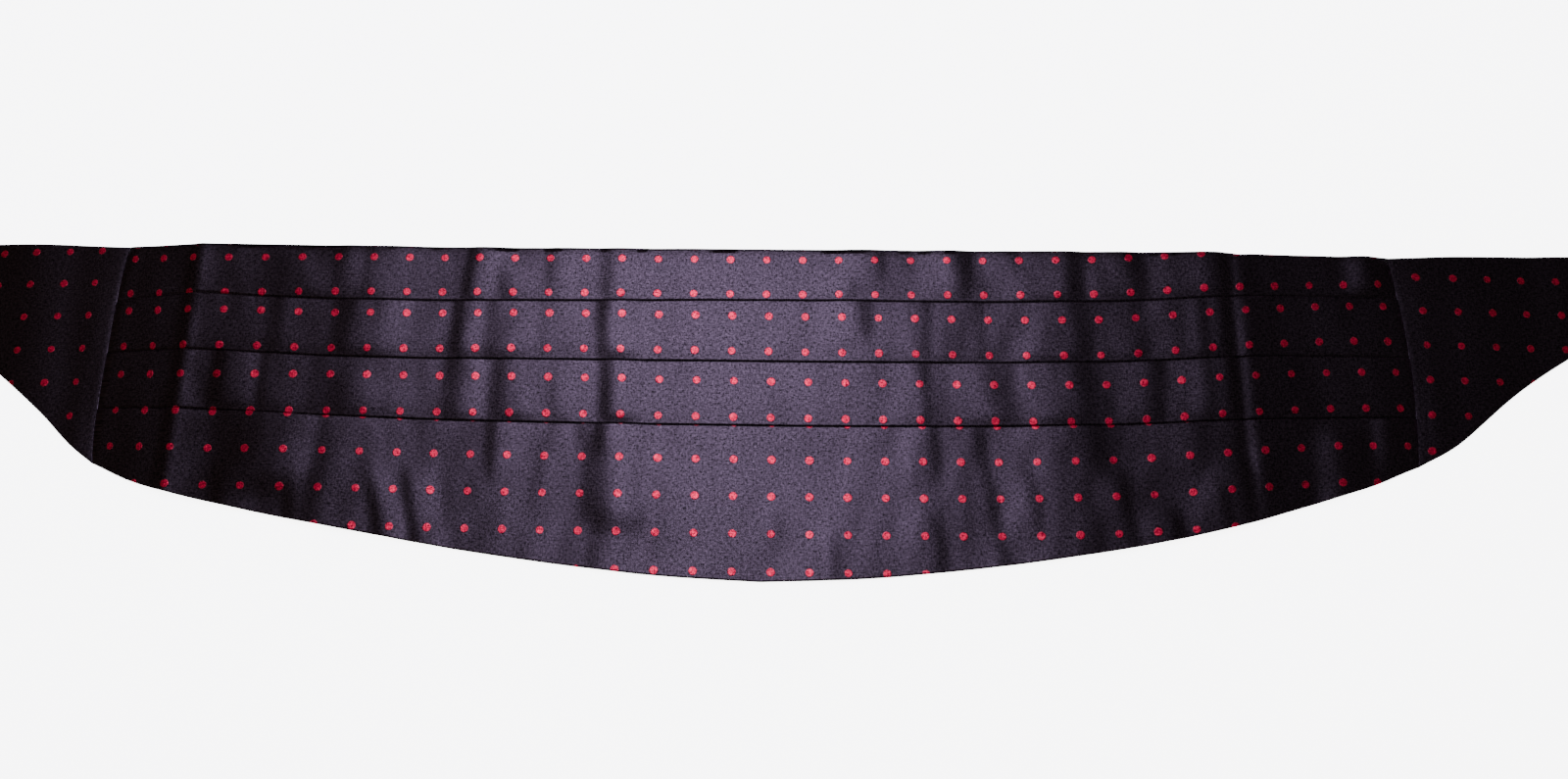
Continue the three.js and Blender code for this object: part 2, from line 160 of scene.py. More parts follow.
# Edges of the three folds, as shares of the height below the upper edge
FOLDS = rows_of(
    "along first second third",
    (-1.00, 0.188, 0.345, 0.515),
    (-0.94, 0.168, 0.339, 0.515),
    (-0.88, 0.159, 0.336, 0.516),
    (-0.78, 0.167, 0.343, 0.523),
    (-0.63, 0.175, 0.354, 0.535),
    (-0.35, 0.173, 0.357, 0.548),
    (0.00, 0.167, 0.359, 0.554),
    (0.30, 0.168, 0.359, 0.553),
    (0.55, 0.164, 0.353, 0.544),
    (0.72, 0.150, 0.340, 0.530),
    (0.82, 0.143, 0.332, 0.523),
    (1.00, 0.148, 0.334, 0.518),
)

# Columns of dots. along: share of half the panel; column: number from the middle
COLUMNS = rows_of(
    "along column",
    (-1.000, -18.38),
    (-0.982, -18.0),
    (-0.888, -16.0),
    (-0.661, -12.0),
    (-0.329, -6.0),
    (0.012, 0.0),
    (0.353, 6.0),
    (0.697, 12.0),
    (0.865, 15.0),
    (1.000, 17.53),
)

# One row of dots in each band, as shares of the height below the upper edge.
# top: band above the first fold, then upper, lower, and bottom below the third fold
ROWS = rows_of(
    "along top upper lower bottom",
    (-1.00, 0.049, 0.324, 0.519, 0.624),
    (-0.82, 0.044, 0.319, 0.518, 0.632),
    (-0.66, 0.040, 0.326, 0.516, 0.636),
    (-0.33, 0.036, 0.321, 0.519, 0.646),
    (0.01, 0.037, 0.326, 0.528, 0.654),
    (0.35, 0.035, 0.333, 0.534, 0.657),
    (0.52, 0.031, 0.331, 0.532, 0.649),
    (0.69, 0.013, 0.309, 0.511, 0.628),
    (0.86, -0.002, 0.285, 0.490, 0.604),
    (1.00, -0.006, 0.281, 0.486, 0.600),
)
ROW_PITCH = {"top": 14.2, "upper": 14.3, "lower": 14.2, "bottom": 14.0}
# Sideways shift of the columns in each band, in millimetres
COLUMN_SHIFT = {"top": 1.65, "upper": 0.6, "lower": -0.5, "bottom": -0.95}

# Creases that all the layers share, and ripples of each band, in millimetres.
# at: crest from the middle of the panel
# start, end: depth shares between which it shows; drift: sideways run between them
# left, right: half widths of its flanks; rise: height of the crest
Ripple = namedtuple("Ripple", "at start end drift left right rise")
RIPPLE_ROWS = {
    "all": [
        (-221, -0.3, 1.3, 0, 34, 160, 1.1),
        (187.5, -0.3, 1.3, 0, 110, 34, 1.3),
        (-221, -0.3, 1.3, -1, 5, 13, 0.62),
        (182.3, -0.3, 1.3, 0, 6, 5, -0.42),
    ],
    "top": [
        (-178, 0.02, 0.3, 0, 26, 32, 0.71),
        (-163, -0.2, 0.16, 0, 6, 12, 0.26),
        (-150, -0.2, 0.3, -1, 7, 20, 0.32),
        (-109, -0.2, 0.3, -6, 5, 14, 0.45),
        (-98, 0.06, 0.3, 0, 8, 17, 0.4),
        (-81, -0.2, 0.11, 0, 5, 12, 0.26),
        (-57, -0.2, 0.3, 0, 8, 14, 0.5),
        (43, -0.2, 0.09, 0, 14, 6, 0.35),
        (31, 0.08, 0.3, 2, 14, 7, 0.35),
        (77, -0.2, 0.16, -2, 19, 8, 0.44),
        (92, -0.2, 0.06, 4, 14, 6, 0.26),
        (117, -0.2, 0.3, 1, 32, 10, 0.69),
        (139, -0.2, 0.3, 6, 19, 9, 0.62),
        (179, -0.2, 0.3, 1, 40, 5, 0.53),
        (243, -0.2, 0.3, -1, 17, 6, 1.2),
    ],
    "upper": [
        (-184, 0.1, 0.5, 0, 8, 20, 0.26),
        (-157, 0.1, 0.5, 0, 10, 28, 0.53),
        (-115, 0.1, 0.5, 0, 6, 12, 0.45),
        (-101, 0.1, 0.5, -1, 8, 17, 0.49),
        (-58, 0.1, 0.5, 1, 7.5, 14, 0.75),
        (34, 0.1, 0.3, 2, 16, 8, 0.44),
        (60, 0.1, 0.5, 1, 16, 6, 0.26),
        (79, 0.1, 0.5, 2, 20, 8, 0.19),
        (118, 0.1, 0.5, 0, 32, 11, 0.5),
        (142, 0.1, 0.5, 0, 16, 8, 0.26),
        (168, 0.1, 0.5, 0, 31, 5, 0.31),
        (177, 0.1, 0.5, 0, 16, 6, 0.39),
    ],
    "lower": [
        (-203, 0.3, 0.7, -2, 7, 20, 0.49),
        (-187, 0.3, 0.7, 0, 5, 17, 0.26),
        (-158, 0.42, 0.7, 0, 10, 38, 0.35),
        (-114, 0.3, 0.7, 0, 8, 12, 0.39),
        (-96, 0.3, 0.7, 0, 9, 18, 0.39),
        (-77, 0.3, 0.7, 0, 5, 14, 0.18),
        (-56, 0.3, 0.7, 2, 7.5, 14, 0.75),
        (60, 0.3, 0.7, 0, 14, 5, 0.22),
        (85, 0.3, 0.7, 0, 19, 13, 0.4),
        (118, 0.3, 0.7, 1, 40, 10, 0.5),
        (148, 0.3, 0.7, -2, 16, 7, 0.35),
        (167, 0.3, 0.7, 0, 20, 7, 0.18),
        (177, 0.3, 0.7, 0, 16, 6, 0.39),
    ],
    "bottom": [
        (-186, 0.3, 0.74, 1, 22, 32, 1.08),
        (-158, 0.3, 1.2, -4, 9, 20, 0.31),
        (-199, 0.7, 1.1, 7, 6, 14, 0.4),
        (-173, 0.74, 1.1, 6, 5, 17, 0.4),
        (-143, 0.72, 1.1, 11, 4, 12, 0.38),
        (-131, 0.7, 1.1, 13, 4, 12, 0.38),
        (-99, 0.3, 0.7, 0, 5, 14, 0.36),
        (-77, 0.58, 0.8, -7, 5, 12, 0.18),
        (-68, 0.3, 0.6, 1, 3, 8, 0.23),
        (-52, 0.3, 0.83, -2, 15, 16, 1.05),
        (-68, 0.3, 0.48, 3, 3, 4, 0.22),
        (-61, 0.3, 0.64, 3, 4, 6, 0.26),
        (-53, 0.8, 1.2, -9, 9, 14, 0.6),
        (-38, 0.63, 0.74, 0, 5, 12, 0.26),
        (4, 0.8, 0.88, 1, 6, 6, 0.2),
        (24, 0.86, 1.2, 2, 5, 6, 0.31),
        (62, 0.3, 0.7, 1, 14, 5, 0.26),
        (73, 0.3, 1.2, 19, 16, 6, 0.27),
        (62, 0.8, 1.2, 4, 14, 6, 0.26),
        (98, 0.7, 0.88, 2, 12, 6, 0.26),
        (117, 0.3, 1.2, 9, 32, 11, 0.5),
        (131, 0.68, 1.2, 8, 9, 6, 0.53),
        (150, 0.8, 1.2, 9, 20, 6, 0.69),
        (168, 0.72, 1.0, 5, 19, 6, 0.37),
        (163, 0.3, 0.68, -3, 23, 9, 0.31),
        (179, 0.66, 1.1, 6, 16, 5, 0.44),
        (218, 0.56, 1.0, -5, 11, 13, 0.9),
        (237, 0.3, 0.66, 0, 7, 8, 0.4),
    ],
}
RIPPLES = {band: [Ripple(*row) for row in rows] for band, rows in RIPPLE_ROWS.items()}
RIPPLE_FADE = 0.05
BAND_ORDER = ("top", "upper", "lower", "bottom")
# Length and width of the random waves, and how far each band's soft ones lean
SLOW_WAVE = (27.0, 90.0)
SOFT_WAVE = (13.0, 22.0)
FINE_WAVE = (5.5, 13.0)
WING_WAVE = (26.0, 40.0)
WAVE_LEAN = {"top": -0.25, "upper": 0.35, "lower": -0.25, "bottom": 0.35}

# Ripples of the wings. at, spread: millimetres from the seam; rise in millimetres
WING_RIPPLES = rows_of(
    "at spread rise",
    (14, 9, 0.15),
    (36, 20, 0.5),
    (68, 17, 0.5),
)

# Dots of the left (-1) and right (1) wing, in millimetres.
# column_at, row_at: a column and a row of dots from the middle of the upper edge
# column, row: spacing; tilt: slope of the rows; lean: slope of the columns further down
WING_DOTS = {
    -1: {"column_at": -298.7, "column": 12.75, "row_at": 4.3, "row": 13.55, "tilt": 0.045,
         "lean": 0.0},
    1: {"column_at": 258.1, "column": 13.4, "row_at": 9.9, "row": 14.15, "tilt": -0.03,
        "lean": 0.065},
}


def curve(table, column, along):
    """Smooth curve through the rows of a table, held flat beyond both ends."""
    last = len(table) - 1
    if along <= table[0]["along"]:
        return table[0][column]
    if along >= table[last]["along"]:
        return table[last][column]
    k = 0
    while along > table[k + 1]["along"]:
        k += 1

    def slope(i):
        a, b = table[max(0, i - 1)], table[min(last, i + 1)]
        return (b[column] - a[column]) / (b["along"] - a["along"])

    step = table[k + 1]["along"] - table[k]["along"]
    t = (along - table[k]["along"]) / step
    near = (1 + 2 * t) * (1 - t) ** 2
    far = t * t * (3 - 2 * t)
    bend = step * t * (1 - t) * ((1 - t) * slope(k) - t * slope(k + 1))
    return near * table[k][column] + far * table[k + 1][column] + bend


def lerp(a, b, t):
    """Straight mix of a and b."""
    return a + (b - a) * t


def smooth(low, high, value):
    """Soft rise from 0 at low to 1 at high."""
    t = min(1.0, max(0.0, (value - low) / (high - low)))
    return t * t * (3 - 2 * t)


def ease_both(share):
    """Steps that are shorter at both ends of a length."""
    return share - 0.045 * math.sin(2 * math.pi * share)


def band_steps(start, end, steps, groove_width):
    """Places across a band, close together in the groove where it starts."""
    inside = start + 1.5 * groove_width
    groove = [lerp(start, inside, k / 4) for k in range(4)]
    return groove + [lerp(inside, end, ease_both(k / (steps - 4))) for k in range(steps - 3)]


def seam_bow(side, y):
    """Sideways bow of a seam, in millimetres."""
    share = min(1.0, max(0.0, -y / SEAM_LENGTH))
    if side < 0:
        return -0.2 - 2.0 * (1 - (2 * share - 1) ** 4)
    return 3.1 * math.sin(math.pi * share) - 2.8


def ease(low, high, value):
    """Straight rise from 0 to 1 with both ends rounded off a little."""
    t = min(1.0, max(0.0, (value - low) / (high - low)))
    return lerp(t, t * t * (3 - 2 * t), 0.35)


def bump(offset, left, right):
    """Round ridge that falls to nothing at its left and right half width."""
    t = -offset / left if offset < 0 else offset / right
    return (1 - t * t) ** 2 if t < 1 else 0.0


def place(x, y, z):
    """Point in the shared frame, in metres, from the cloth's millimetres."""
    return (MIDDLE_X + x * MM, UPPER_Y + y * MM, z * MM)


def upper_edge(x):
    return -HEIGHT * curve(UPPER_EDGE, "drop", x / HALF)


def lower_edge(x):
    return -HEIGHT * curve(LOWER_EDGE, "left" if x < 0 else "right", abs(x) / HALF)


def fold_edge(x, which):
    return -HEIGHT * curve(FOLDS, which, x / HALF)


def ripple_height(ripple, x, depth, sharp=False):
    """Height of one ripple at a place, 0 outside it. A sharp one has hollow flanks."""
    if not ripple.start - RIPPLE_FADE < depth < ripple.end + RIPPLE_FADE:
        return 0.0
    run = (depth - ripple.start) / (ripple.end - ripple.start)
    offset = x - ripple.at - ripple.drift * run
    if not -ripple.left < offset < ripple.right:
        return 0.0
    if sharp:
        side = -offset / ripple.left if offset < 0 else offset / ripple.right
        return ripple.rise * (1 - side) ** 2
    begins = smooth(ripple.start - RIPPLE_FADE, ripple.start + RIPPLE_FADE, depth)
    ends = smooth(ripple.end - RIPPLE_FADE, ripple.end + RIPPLE_FADE, depth)
    return ripple.rise * begins * (1 - ends) * bump(offset, ripple.left, ripple.right)


def waves(x, y, size, seed):
    """Random waves of this length and width, between -1 and 1."""
    return noise.noise(Vector((x / size[0], y / size[1], seed)))


def shared_lift(x, y, crease):
    """Height that every layer of the panel has: storage creases and slow waves."""
    depth = -y / HEIGHT
    total = sum(ripple_height(ripple, x, depth, sharp=True) for ripple in RIPPLES["all"])
    slow = waves(x, y, SLOW_WAVE, 3.7)
    ends = 1 - smooth(0.93 * HALF, HALF, abs(x))
    seam_dip = smooth(-0.3, 1.7, HALF - abs(x))
    return (crease * total + 0.55 + 0.5 * slow) * lerp(0.45, 1.0, ends) * seam_dip


def band_lift(band, x, y, crease):
    """Height that one band of the panel adds with its own ripples."""
    depth = -y / HEIGHT
    total = sum(ripple_height(ripple, x, depth) for ripple in RIPPLES[band])
    seed = 11.0 + 7.0 * BAND_ORDER.index(band)
    soft = waves(x - WAVE_LEAN[band] * y, y, SOFT_WAVE, seed)
    fine = waves(x, y, FINE_WAVE, seed + 3.0)
    ends = 1 - smooth(0.95 * HALF, HALF, abs(x))
    return crease * (total + 0.12 + 0.21 * soft + 0.06 * fine) * ends


class ClothPoint:
    """A point of a section: place, band, share of the band's ripples, and dot rows."""

    def __init__(self, y, z, band, share, row=None):
        self.y = y
        self.z = z
        self.band = band
        self.share = share
        self.row = row
        self.shift = None if row is None else COLUMN_SHIFT[band]


class Section:
    """Middle line of one cloth across the sash."""

    def __init__(self):
        self.points = []
        self.band = "bottom"
        self.share = 1.0

    def add(self, y, z, row=None):
        """Next point of the line, in the band that is being laid."""
        self.points.append(ClothPoint(y, z, self.band, self.share, row))

    def turn(self, direction, tip, z_from, z_to, steps, reach=1.0):
        """Round edge from one level to the other, with its tip at this y."""
        radius = abs(z_from - z_to) / 2
        side = 1 if z_from > z_to else -1
        for k in range(steps + 1):
            angle = math.pi * k / steps
            y = tip + direction * reach * radius * (math.sin(angle) - 1)
            self.add(y, (z_from + z_to) / 2 + side * radius * math.cos(angle))

    def run_rows_on(self, pitch):
        """Lets the dots run on through the turned and tucked lengths."""
        run = [0.0]
        for a, b in zip(self.points, self.points[1:]):
            run.append(run[-1] + math.hypot(b.y - a.y, b.z - a.z) / pitch)
        known = [k for k, point in enumerate(self.points) if point.row is not None]
        first, last = known[0], known[-1]
        for k in range(first):
            self.points[k].row = self.points[first].row - (run[first] - run[k])
            self.points[k].shift = self.points[first].shift
        for k in range(last + 1, len(self.points)):
            self.points[k].row = self.points[last].row + (run[k] - run[last])
            self.points[k].shift = self.points[last].shift
        whole = 0
        for a, b in zip(known, known[1:]):
            start, end = self.points[a], self.points[b]
            if b - a > 1:
                whole = round(start.row + run[b] - run[a] - end.row)
            end.row += whole
            for k in range(a + 1, b):
                share = (run[k] - run[a]) / (run[b] - run[a])
                self.points[k].row = lerp(start.row, end.row, share)
                self.points[k].shift = lerp(start.shift, end.shift, share)
        return self.points


def panel_section(x, cloth, gap, puff):
    """The panel's cloth from the lower hem, through three tucks, to the upper hem."""
    low = cloth / 2
    middle = low + cloth + gap
    high = middle + cloth + gap
    bottom, top = lower_edge(x), upper_edge(x)
    first_room = fold_edge(x, "third") - TUCKS["third"] - bottom
    hem = max(1.5, min(LOWER_HEM, first_room - 2.3))
    outward = 1 + 0.6 * smooth(0.78, 0.9, abs(x) / HALF)
    section = Section()
    for k in range(3):
        section.add(bottom + lerp(hem, PANEL_TURN, k / 3), low)
    section.turn(-1, bottom, low, middle, 5)
    start, start_low, start_level, groove = bottom + 0.6, middle, middle, GROOVE["third"]
    for band, which, above, steps in BANDS:
        edge = fold_edge(x, which)
        back = edge - TUCKS[which]
        crest = high + puff
        base = -HEIGHT * curve(ROWS, band, x / HALF)
        tip = FOLD_REACH * (crest - middle) / 2
        section.band = band
        for y in band_steps(start, edge - tip, steps, groove):
            z = lerp(start_level, high, ease(start, back + 1, y))
            z = lerp(start_low, z, smooth(-0.1, groove, y - start))
            z += puff * smooth(edge - 14, edge - 2, y)
            emerged = lerp(UNDER_SHARE, 1.0, smooth(start, start + 4, y))
            section.share = 1.0 if band == "bottom" else emerged
            section.add(y, z, (y - base) / ROW_PITCH[band])
        section.share = 1.0
        section.turn(1, edge, crest, middle, 8, FOLD_REACH)
        for k in range(1, 4):
            y = lerp(edge - tip, back + 1, k / 4)
            section.share = smooth(back, back + 6, y)
            section.add(y, middle)
        section.share = 0.0
        section.turn(-1, back, middle, low, 4)
        start, start_low, start_level = edge + 0.3, low, lerp(low, high, 0.4)
        groove = GROOVE[which] * outward
        section.band = above
        for k in range(1, 5):
            section.share = UNDER_SHARE * k / 5
            section.add(lerp(back + 1, start, k / 5), low)
    base = -HEIGHT * curve(ROWS, "top", x / HALF)
    for y in band_steps(start, top - 0.6, 14, groove):
        z = lerp(start_level, crest, smooth(start, top - UPPER_HEM, y))
        z = lerp(start_low, z, smooth(-0.1, groove, y - start))
        section.share = lerp(UNDER_SHARE, 1.0, smooth(start, start + 4, y))
        section.add(y, z, (y - base) / ROW_PITCH["top"])
    section.share = 1.0
    section.turn(1, top, crest, low, 6)
    for k in range(1, 4):
        section.add(top - lerp(PANEL_TURN, UPPER_HEM, k / 3), low)
    return section.run_rows_on(ROW_PITCH["upper"])


def grid_mesh(name, columns, thickness, material):
    """Sheet through equal columns of (point, uv), given its thickness on both sides."""
    points, uvs, faces = [], [], []
    count = len(columns[0])
    for column in columns:
        for point, uv in column:
            points.append(point)
            uvs.append(uv)
    for c in range(len(columns) - 1):
        for k in range(count - 1):
            a = c * count + k
            faces.append((a, a + count, a + count + 1, a + 1))
    mesh = bpy.data.meshes.new(name)
    mesh.from_pydata(points, [], faces)
    layer = mesh.uv_layers.new(name="cloth")
    for loop in mesh.loops:
        layer.data[loop.index].uv = uvs[loop.vertex_index]
    mesh.polygons.foreach_set("use_smooth", [True] * len(mesh.polygons))
    mesh.materials.append(material)
    piece = bpy.data.objects.new(name, mesh)
    bpy.context.scene.collection.objects.link(piece)
    wall = piece.modifiers.new("wall", "SOLIDIFY")
    wall.thickness = thickness * MM
    wall.offset = 0.0
    wall.use_rim = True
    return piece


def panel_stations():
    """Places along the panel where its cloth is cut through, close together at both ends."""
    ends = [SEAM_GAP, 0.35, 0.75]
    last = HALF - 1.2
    count = int(2 * last / STATION_STEP)
    inside = [lerp(-last, last, k / count) for k in range(count + 1)]
    return [-HALF + e for e in ends] + inside + [HALF - e for e in reversed(ends)]


def wing_section(side, distance, cloth, gap, strap):
    """The wing's cloth from its lower hem over its face to its upper hem."""
    x = side * (HALF + distance)
    top = upper_edge(x)
    seam_depth = -lower_edge(side * HALF)
    tip_depth = WING_TIP - upper_edge(side * WING_END)
    share = curve(WING_EDGE, "left" if side < 0 else "right", distance / WING_LENGTH)
    bottom = -lerp(tip_depth, seam_depth, share)
    hem = max(1.6, min(WING_HEM, (top - bottom - STRAP_WIDTH) / 2 - 0.5))
    low = cloth / 2
    level = low + cloth + gap
    level += 0.15 * bump(distance - 1.9, 2.2, 11.0)
    over_strap = smooth(WING_LENGTH - 26, WING_LENGTH - 15, distance)
    level = lerp(level, strap + gap + cloth / 2, over_strap)
    if distance < 0.01:
        level = low + 0.1
    section = Section()
    for k in range(3):
        section.add(bottom + lerp(hem, WING_TURN, k / 3), low)
    section.turn(-1, bottom, low, level, 5)
    dots = WING_DOTS[side]
    base = -dots["row_at"] + dots["tilt"] * (x - dots["column_at"])
    for k in range(32):
        y = lerp(bottom + WING_TURN, top - WING_TURN, k / 31)
        section.add(y, level, (y - base) / dots["row"])
    section.turn(1, top, level, low, 5)
    for k in range(1, 4):
        section.add(top - lerp(WING_TURN, hem, k / 3), low)
    return section.run_rows_on(dots["row"])


def wing_lift(side, distance, y):
    """Height that a wing's ripples and waves add."""
    total = 0.0
    for ripple in WING_RIPPLES:
        middle = ripple["at"] + 0.08 * y
        total += ripple["rise"] * bump(distance - middle, ripple["spread"], ripple["spread"])
    slow = waves(distance, y, WING_WAVE, 5.0 + side)
    fade = smooth(0.0, 8.0, distance) * (1 - smooth(80.0, 100.0, distance))
    return max(0.0, (total + 0.30 + 0.45 * slow) * fade)


class Graph:
    """Short way to add nodes to a tree and join them."""

    def __init__(self, tree):
        self.tree = tree

    def node(self, kind, **settings):
        made = self.tree.nodes.new(kind)
        for key, value in settings.items():
            setattr(made, key, value)
        return made

    def feed(self, target, value):
        if isinstance(value, bpy.types.NodeSocket):
            self.tree.links.new(value, target)
        elif value is not None:
            target.default_value = value

    def math(self, operation, a, b=None):
        made = self.node("ShaderNodeMath", operation=operation)
        self.feed(made.inputs[0], a)
        self.feed(made.inputs[1], b)
        return made.outputs[0]

    def add(self, a, b):
        return self.math("ADD", a, b)

    def minus(self, a, b):
        return self.math("SUBTRACT", a, b)

    def times(self, a, b):
        return self.math("MULTIPLY", a, b)

    def wave(self, along, number):
        """Sine that makes this number of full waves in one unit of length."""
        return self.math("SINE", self.times(self.times(along, number), 2 * math.pi))

    def vector(self, operation, a, b=None):
        made = self.node("ShaderNodeVectorMath", operation=operation)
        self.feed(made.inputs[0], a)
        self.feed(made.inputs[1], b)
        return made.outputs[0]

    def split(self, vector):
        made = self.node("ShaderNodeSeparateXYZ")
        self.feed(made.inputs[0], vector)
        return made.outputs

    def mix(self, share, a, b, blend="MIX"):
        made = self.node("ShaderNodeMix", data_type="RGBA", blend_type=blend)
        self.feed(made.inputs[0], share)
        self.feed(made.inputs[6], a)
        self.feed(made.inputs[7], b)
        return made.outputs[2]

    def toned(self, colour, tone):
        """Colour made lighter and darker by a tone around 1."""
        return self.mix(1.0, rgba(colour), tone, "MULTIPLY")

    def blend(self, share, a, b):
        made = self.node("ShaderNodeMix", data_type="FLOAT")
        self.feed(made.inputs[0], share)
        self.feed(made.inputs[2], a)
        self.feed(made.inputs[3], b)
        return made.outputs[0]

    def ramp(self, value, low, high):
        made = self.node("ShaderNodeMapRange", interpolation_type="SMOOTHSTEP")
        self.feed(made.inputs[0], value)
        self.feed(made.inputs[1], low)
        self.feed(made.inputs[2], high)
        return made.outputs[0]

    def noise(self, vector, scale, detail, rough):
        made = self.node("ShaderNodeTexNoise")
        self.feed(made.inputs["Vector"], vector)
        self.feed(made.inputs["Scale"], scale)
        self.feed(made.inputs["Detail"], detail)
        self.feed(made.inputs["Roughness"], rough)
        return made.outputs["Fac"]

    def stretched_noise(self, vector, x, y, detail, rough):
        return self.noise(self.vector("MULTIPLY", vector, (x, y, 1.0)), 1.0, detail, rough)

    def group(self, name, **values):
        made = self.node("ShaderNodeGroup")
        made.node_tree = bpy.data.node_groups[name]
        for key, value in values.items():
            self.feed(made.inputs[key], value)
        return made.outputs

    def bump(self, height, depth, strength):
        """Normal of a surface with this height map, its depth in millimetres."""
        made = self.node("ShaderNodeBump")
        self.feed(made.inputs["Height"], height)
        self.feed(made.inputs["Distance"], depth * MM)
        self.feed(made.inputs["Strength"], strength)
        return made.outputs[0]


def new_group(name, values, results):
    """Group with a vector and values (default, low, high) going in, and results out."""
    group = bpy.data.node_groups.new(name, "ShaderNodeTree")

    def socket(key, way, kind="NodeSocketFloat"):
        return group.interface.new_socket(name=key, in_out=way, socket_type=kind)

    socket("Vector", "INPUT", "NodeSocketVector")
    for key, (default, low, high) in values.items():
        made = socket(key, "INPUT")
        made.default_value, made.min_value, made.max_value = default, low, high
    for key in results:
        socket(key, "OUTPUT")
    graph = Graph(group)
    return graph, graph.node("NodeGroupInput").outputs, graph.node("NodeGroupOutput").inputs


def woven_dots_group():
    """Round dots on a square grid, with edges stepped by the threads that weave them."""
    values = {
        "Radius": (0.128, 0.0, 0.5),
        "Softness": (0.012, 0.0, 0.2),
        "Threads": (44.0, 1.0, 200.0),
    }
    graph, entry, out = new_group("woven_dots", values, ["Mask"])
    vector, radius, softness, threads = entry[:4]
    parts = graph.split(vector)
    offsets = []
    for axis in (0, 1):
        snapped = graph.math("SNAP", parts[axis], graph.math("DIVIDE", 1.0, threads))
        eased = graph.add(graph.times(snapped, 0.55), graph.times(parts[axis], 0.45))
        eased = graph.add(eased, 0.005)
        cell = graph.minus(eased, graph.math("ROUND", eased))
        offsets.append(graph.math("POWER", cell, 2.0))
    distance = graph.math("SQRT", graph.add(*offsets))
    ragged = graph.minus(graph.noise(vector, 18.0, 2.0, 0.6), 0.5)
    distance = graph.add(distance, graph.times(ragged, 0.022))
    dot_number = graph.vector("FLOOR", graph.vector("ADD", vector, (0.5, 0.5, 0.0)))
    luck = graph.node("ShaderNodeTexWhiteNoise", noise_dimensions="2D")
    graph.feed(luck.inputs["Vector"], dot_number)
    grown = graph.minus(luck.outputs["Value"], 0.5)
    reach = graph.add(radius, graph.times(grown, 0.012))
    outside = graph.ramp(distance, graph.minus(reach, softness), graph.add(reach, softness))
    graph.feed(out["Mask"], graph.minus(1.0, outside))


def satin_twill_group():
    """Fine slanting twill lines with uneven threads, as a height and a tone."""
    values = {"Lines": (18.0, 1.0, 200.0), "Unevenness": (0.5, 0.0, 1.0)}
    graph, entry, out = new_group("satin_twill", values, ["Height", "Tone"])
    vector, lines, uneven = entry[:3]
    parts = graph.split(vector)
    slant = graph.add(parts[0], graph.times(parts[1], 0.62))
    wander = graph.noise(vector, 9.0, 2.0, 0.6)
    slant = graph.add(slant, graph.times(wander, 0.03))
    twill = graph.wave(slant, lines)
    threads = graph.stretched_noise(vector, 24.0, 10.0, 3.0, 0.75)
    cross = graph.stretched_noise(vector, 10.0, 24.0, 3.0, 0.75)
    slub = graph.times(graph.minus(graph.add(threads, cross), 1.0), uneven)
    graph.feed(out["Height"], graph.add(graph.times(twill, 0.15), slub))
    cloud = graph.minus(graph.noise(vector, 0.35, 3.0, 0.55), 0.5)
    tone = graph.add(graph.times(twill, 0.08), graph.times(slub, 3.8))
    tone = graph.add(tone, graph.times(cloud, 0.25))
    graph.feed(out["Tone"], graph.math("MAXIMUM", graph.add(tone, 1.0), 0.15))


def ribbed_webbing_group():
    """Ribs across a strap with a finer weave along it."""
    values = {"Ribs": (0.9, 0.1, 10.0)}
    graph, entry, out = new_group("ribbed_webbing", values, ["Height", "Tone"])
    vector, ribs = entry[:2]
    parts = graph.split(vector)
    weave = graph.times(graph.wave(parts[1], 1.3), 0.6)
    height = graph.add(weave, graph.times(graph.wave(parts[0], ribs), 0.4))
    fuzz = graph.minus(graph.noise(vector, 3.0, 3.0, 0.6), 0.5)
    graph.feed(out["Height"], graph.add(height, fuzz))
    tone = graph.add(graph.times(height, 0.12), graph.times(fuzz, 0.5))
    graph.feed(out["Tone"], graph.add(tone, 1.0))


def brushed_metal_group():
    """Fine lines of a satin metal finish, with light handling marks."""
    graph, entry, out = new_group("brushed_metal", {}, ["Height", "Wear"])
    graph.feed(out["Height"], graph.stretched_noise(entry[0], 300.0, 6000.0, 2.0, 0.5))
    graph.feed(out["Wear"], graph.ramp(graph.noise(entry[0], 260.0, 4.0, 0.6), 0.45, 0.7))


def new_material(name):
    """Adds a material. Returns its graph and the inputs of its shader."""
    material = bpy.data.materials.new(name)
    material.use_nodes = True
    shader = next(n for n in material.node_tree.nodes if n.type == "BSDF_PRINCIPLED")
    return Graph(material.node_tree), shader.inputs


def rgba(colour, share=1.0):
    """Colour, made darker by a share, with full cover."""
    return tuple(share * c for c in colour) + (1.0,)


def satin_material(looks):
    """Dark satin whose threads shine, with small woven dots."""
    graph, shader = new_material("satin_with_dots")
    where = graph.node("ShaderNodeUVMap", uv_map="cloth").outputs[0]
    mask = graph.group("woven_dots", Vector=where, Radius=looks.dot_radius, Softness=0.012,
                       Threads=44.0)["Mask"]
    twill = graph.group("satin_twill", Vector=where, Lines=36.0, Unevenness=1.0)
    ground = graph.toned(looks.satin, twill["Tone"])
    dot = graph.toned(looks.dot, twill["Tone"])
    graph.feed(shader["Base Color"], graph.mix(mask, ground, dot))
    graph.feed(shader["Roughness"], graph.blend(mask, 0.33, 0.36))
    graph.feed(shader["Metallic"], graph.blend(mask, 0.96, 0.90))
    graph.feed(shader["IOR"], 1.45)
    graph.feed(shader["Specular Tint"], (0.22, 0.19, 0.24, 1.0))
    height = graph.add(graph.times(twill["Height"], 0.5), graph.times(mask, 1.2))
    graph.feed(shader["Normal"], graph.bump(height, 0.06, 0.8))


